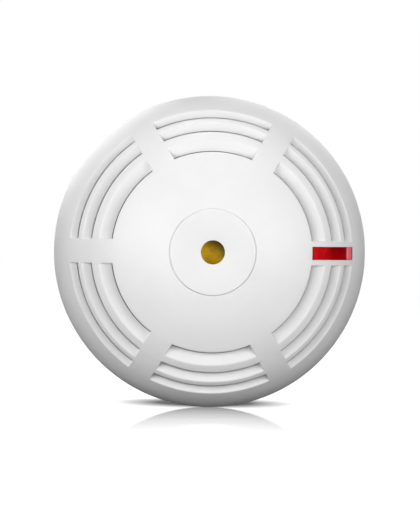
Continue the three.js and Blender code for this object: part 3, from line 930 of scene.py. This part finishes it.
def floor():
    """White table whose polish fades toward the camera. It is kept out of the detector's own light."""
    size = 6.0
    level = -BODY_RADIUS * MM
    mesh = bpy.data.meshes.new("floor")
    mesh.from_pydata([(-size, -size, level), (size, -size, level), (size, size, level), (-size, size, level)],
                     [], [(0, 1, 2, 3)])
    obj = bpy.data.objects.new("floor", mesh)
    bpy.context.scene.collection.objects.link(obj)
    obj.visible_diffuse = False
    obj.visible_glossy = False
    obj.visible_transmission = False
    obj.visible_shadow = False
    mat = bpy.data.materials.new("floor_white")
    mat.use_nodes = True
    nodes, links = mat.node_tree.nodes, mat.node_tree.links
    nodes.clear()
    matt = nodes.new("ShaderNodeBsdfDiffuse")
    matt.inputs["Color"].default_value = (FLOOR_MATT, FLOOR_MATT, FLOOR_MATT, 1)
    glow = nodes.new("ShaderNodeEmission")
    place = nodes.new("ShaderNodeTexCoord")
    around = nodes.new("ShaderNodeMapping")
    around.vector_type = "TEXTURE"
    around.inputs["Location"].default_value = (0, SHADE_BEHIND, level)
    around.inputs["Scale"].default_value = (*SHADE_SIZE, 1)
    links.new(place.outputs["Object"], around.inputs["Vector"])
    shade = nodes.new("ShaderNodeTexGradient")
    shade.gradient_type = "SPHERICAL"
    links.new(around.outputs["Vector"], shade.inputs["Vector"])
    dim = nodes.new("ShaderNodeMapRange")
    dim.inputs["From Max"].default_value = SHADE_FULL
    dim.inputs["To Min"].default_value = 1.0
    dim.inputs["To Max"].default_value = 0.0
    links.new(shade.outputs["Fac"], dim.inputs["Value"])
    shine = nodes.new("ShaderNodeMath")
    shine.operation = "MULTIPLY"
    shine.inputs[1].default_value = FLOOR_GLOW
    links.new(dim.outputs["Result"], shine.inputs[0])
    links.new(shine.outputs[0], glow.inputs["Strength"])
    white = nodes.new("ShaderNodeAddShader")
    links.new(matt.outputs[0], white.inputs[0])
    links.new(glow.outputs[0], white.inputs[1])
    polish = nodes.new("ShaderNodeBsdfGlossy")
    polish.inputs["Roughness"].default_value = 0.03
    links.new(dim.outputs["Result"], polish.inputs["Color"])
    split = nodes.new("ShaderNodeSeparateXYZ")
    links.new(place.outputs["Object"], split.inputs[0])
    ahead = nodes.new("ShaderNodeMath")
    ahead.operation = "MULTIPLY_ADD"
    ahead.inputs[1].default_value = -1.0
    ahead.inputs[2].default_value = -WIDEST_DEPTH * MM
    links.new(split.outputs["Y"], ahead.inputs[0])
    fade = nodes.new("ShaderNodeValToRGB")
    fade.color_ramp.interpolation = "LINEAR"
    stops = fade.color_ramp.elements
    for (place_at, strength), stop in zip(FLOOR_FADE, [stops[0], stops[1]]):
        stop.position = place_at
        stop.color = (strength,) * 3 + (1,)
    for place_at, strength in FLOOR_FADE[2:]:
        stops.new(place_at).color = (strength,) * 3 + (1,)
    links.new(ahead.outputs[0], fade.inputs["Fac"])
    aside = nodes.new("ShaderNodeMath")
    aside.operation = "ABSOLUTE"
    links.new(split.outputs["X"], aside.inputs[0])
    narrow = nodes.new("ShaderNodeMapRange")
    narrow.interpolation_type = "SMOOTHSTEP"
    narrow.inputs["From Min"].default_value, narrow.inputs["From Max"].default_value = FLOOR_ASIDE
    narrow.inputs["To Min"].default_value = 1.0
    narrow.inputs["To Max"].default_value = 0.0
    links.new(aside.outputs[0], narrow.inputs["Value"])
    share = nodes.new("ShaderNodeMath")
    share.operation = "MULTIPLY"
    links.new(fade.outputs["Color"], share.inputs[0])
    links.new(narrow.outputs["Result"], share.inputs[1])
    mix = nodes.new("ShaderNodeMixShader")
    links.new(share.outputs[0], mix.inputs[0])
    links.new(white.outputs[0], mix.inputs[1])
    links.new(polish.outputs[0], mix.inputs[2])
    out = nodes.new("ShaderNodeOutputMaterial")
    links.new(mix.outputs[0], out.inputs[0])
    mesh.materials.append(mat)
    return obj


def world():
    """White to the camera. As a light it is dim, brighter overhead, with a white wall low down behind."""
    scene = bpy.context.scene
    scene.world = bpy.data.worlds.new("studio")
    scene.world.use_nodes = True
    nodes, links = scene.world.node_tree.nodes, scene.world.node_tree.links
    nodes.clear()
    place = nodes.new("ShaderNodeTexCoord")
    split = nodes.new("ShaderNodeSeparateXYZ")
    links.new(place.outputs["Generated"], split.inputs[0])

    def rise(axis, start, end, strength):
        step = nodes.new("ShaderNodeMapRange")
        step.interpolation_type = "SMOOTHSTEP"
        step.inputs["From Min"].default_value = start
        step.inputs["From Max"].default_value = end
        step.inputs["To Max"].default_value = strength
        links.new(split.outputs[axis], step.inputs["Value"])
        return step.outputs["Result"]

    def combined(operation, a, b):
        node = nodes.new("ShaderNodeMath")
        node.operation = operation
        links.new(a, node.inputs[0])
        links.new(b, node.inputs[1])
        return node.outputs[0]

    overhead = rise("Z", -0.05, 1.0, WORLD_ABOVE)
    wall = combined("MULTIPLY", rise("Y", 0.88, 0.94, WORLD_BEHIND), rise("Z", -0.01, 0.0, 1.0))
    lit = nodes.new("ShaderNodeBackground")
    links.new(combined("ADD", overhead, wall), lit.inputs["Strength"])
    seen = nodes.new("ShaderNodeBackground")
    seen.inputs["Color"].default_value = (1, 1, 1, 1)
    path = nodes.new("ShaderNodeLightPath")
    mix = nodes.new("ShaderNodeMixShader")
    links.new(path.outputs["Is Camera Ray"], mix.inputs[0])
    links.new(lit.outputs[0], mix.inputs[1])
    links.new(seen.outputs[0], mix.inputs[2])
    out = nodes.new("ShaderNodeOutputWorld")
    links.new(mix.outputs[0], out.inputs[0])


def area_light(name, azimuth, elevation, power):
    """A square soft box aimed at the detector. Azimuth 0 is in front and 90 to the right."""
    data = bpy.data.lights.new(name, "AREA")
    data.shape = "SQUARE"
    data.size = LIGHT_SIZES.get(name, LIGHT_SIZE)
    data.energy = power
    obj = bpy.data.objects.new(name, data)
    bpy.context.scene.collection.objects.link(obj)
    a, e = math.radians(azimuth), math.radians(elevation)
    way = Vector((math.sin(a) * math.cos(e), -math.cos(a) * math.cos(e), math.sin(e)))
    obj.location = way * LIGHT_DISTANCE
    obj.rotation_mode = "QUATERNION"
    obj.rotation_quaternion = way.to_track_quat("Z", "Y")


def camera():
    """Almost square on, a little from the left, from two metres."""
    data = bpy.data.cameras.new("camera")
    cam = bpy.data.objects.new("camera", data)
    bpy.context.scene.collection.objects.link(cam)
    bpy.context.scene.camera = cam
    turn = math.radians(CAMERA_AZIMUTH)
    rise = math.radians(CAMERA_ELEVATION)
    way = Vector((math.sin(turn) * math.cos(rise), -math.cos(turn) * math.cos(rise), math.sin(rise)))
    aim = Vector((CAMERA_AIM[0] * MM, -WIDEST_DEPTH * MM, CAMERA_AIM[1] * MM))
    cam.location = aim + way * CAMERA_DISTANCE
    cam.rotation_mode = "QUATERNION"
    roll = Matrix.Rotation(math.radians(CAMERA_ROLL), 4, way)
    cam.rotation_quaternion = roll.to_quaternion() @ way.to_track_quat("Z", "Y")
    data.sensor_width = 36.0
    data.lens = data.sensor_width * CAMERA_DISTANCE / (FRAME_HEIGHT * MM)
    data.clip_start, data.clip_end = 0.1, 20


# ---------------------------------------------------------------- build

assemble()
dress_all()
floor()
world()
for light in LIGHTS:
    area_light(*light)
camera()
bpy.context.scene.view_settings.view_transform = "Standard"
